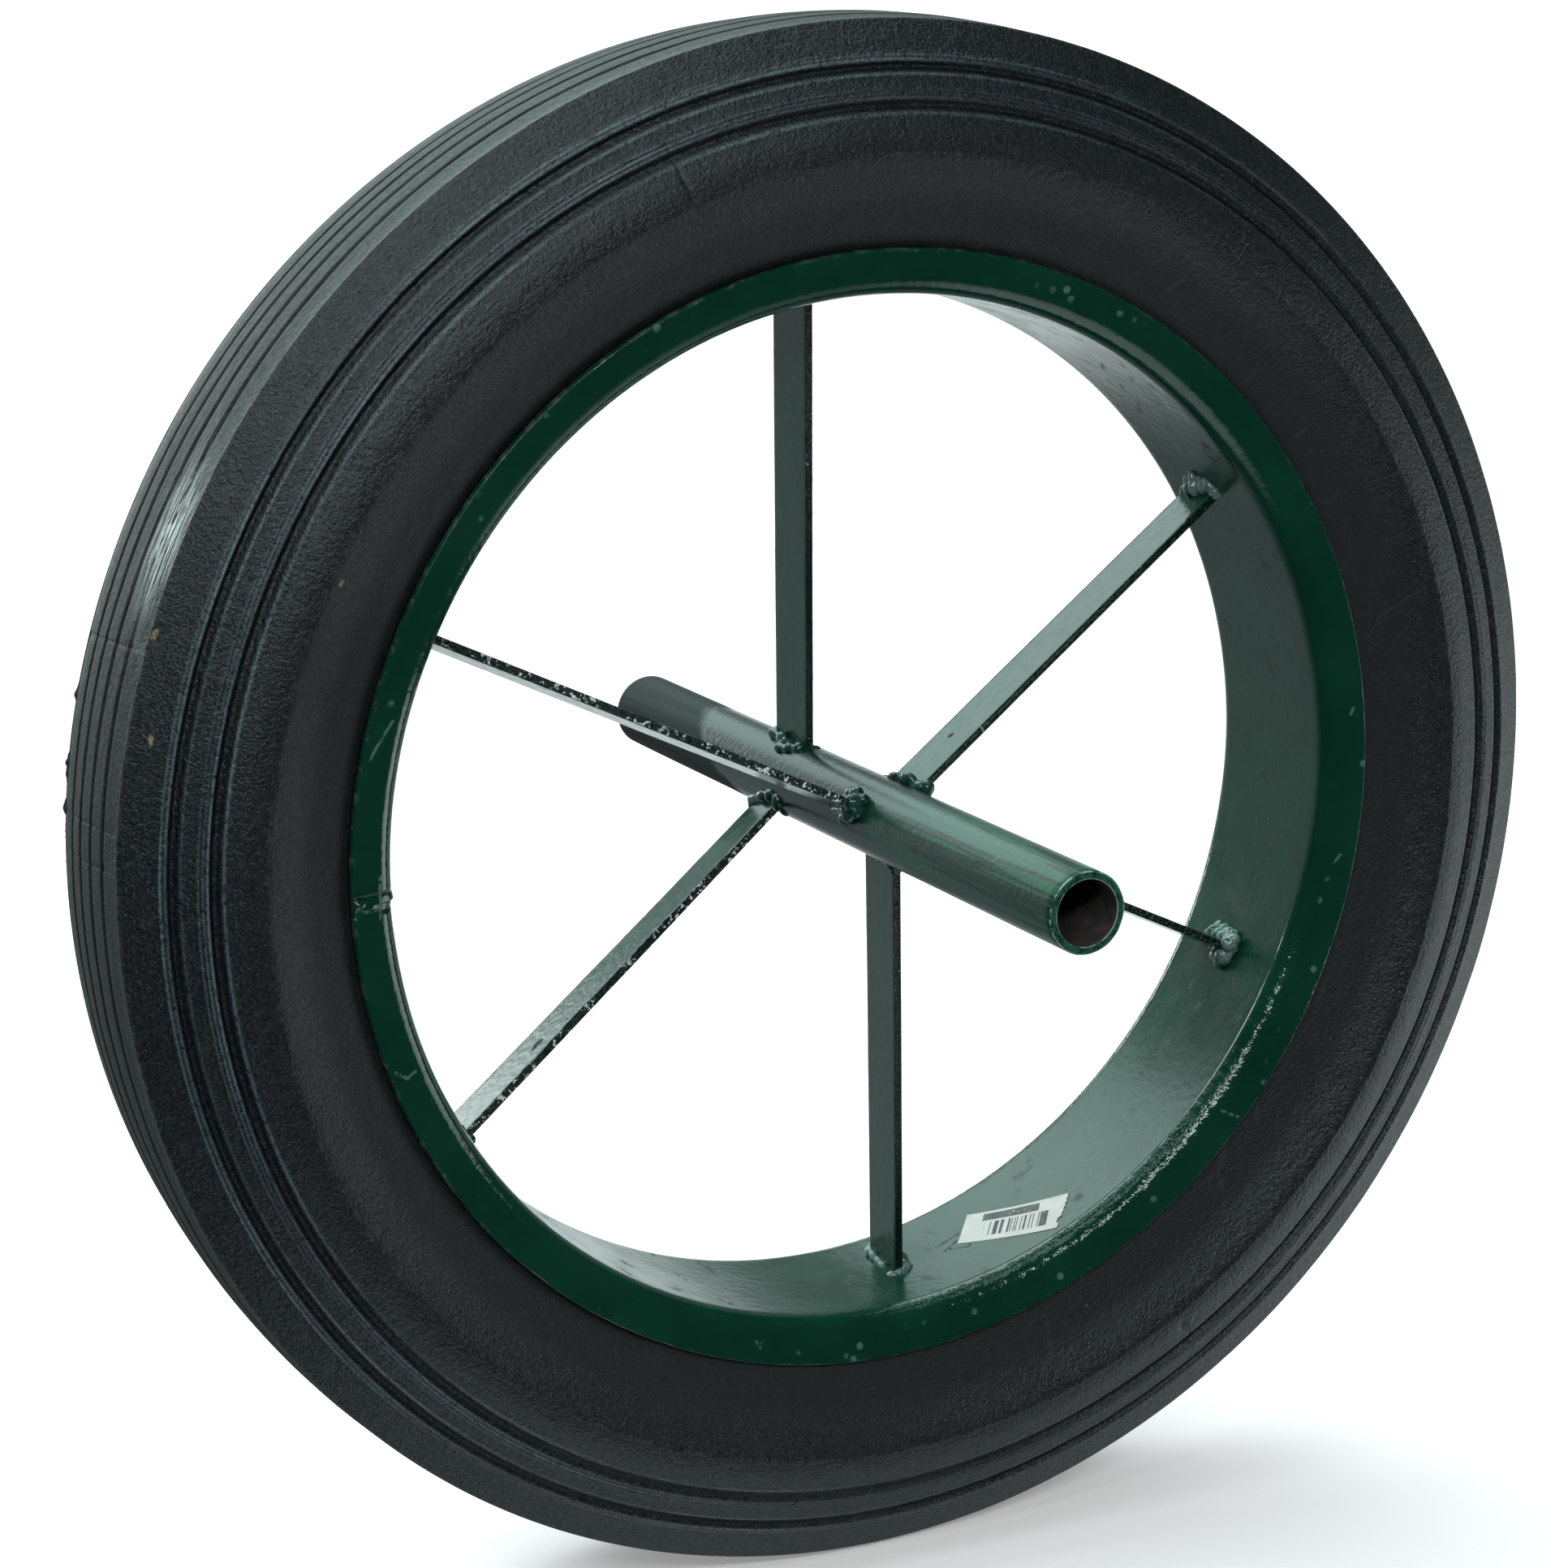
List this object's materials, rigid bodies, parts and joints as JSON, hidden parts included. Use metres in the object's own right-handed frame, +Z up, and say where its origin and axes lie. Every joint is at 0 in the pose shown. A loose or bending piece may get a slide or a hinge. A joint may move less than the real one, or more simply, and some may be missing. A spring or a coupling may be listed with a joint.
{
  "type": "wheelbarrow wheel",
  "caption": "Wheelbarrow wheel: ribbed rubber tyre on a green welded steel rim with flat-bar spokes and a long plain hub tube.",
  "frame": {"origin": "on the axle line at mid-length of the hub tube", "axes": "+Y along the axle towards the far side, +Z up, +X to the right seen from the near side"},
  "size_m": [0.4, 0.245, 0.4],
  "materials": {
    "tyre": "matt rubber with a fine grain",
    "painted_steel": "glossy dark green paint",
    "painted_weld": "lumpy weld metal under glossy green paint",
    "label": "off-white paper with grey bars"
  },
  "bodies": {
    "root": {"tyre": "tyre", "rim": "painted_steel", "rim_seam_weld": "painted_weld", "hub_tube": "painted_steel", "spoke_1": "painted_steel", "spoke_2": "painted_steel", "spoke_3": "painted_steel", "spoke_4": "painted_steel", "spoke_5": "painted_steel", "spoke_6": "painted_steel", "hub_weld_1": "painted_weld", "hub_weld_2": "painted_weld", "hub_weld_3": "painted_weld", "hub_weld_4": "painted_weld", "hub_weld_5": "painted_weld", "hub_weld_6": "painted_weld", "rim_weld_1": "painted_weld", "rim_weld_2": "painted_weld", "rim_weld_3": "painted_weld", "rim_weld_4": "painted_weld", "rim_weld_5": "painted_weld", "rim_weld_6": "painted_weld", "barcode_label": "label"}
  },
  "joints": []
}
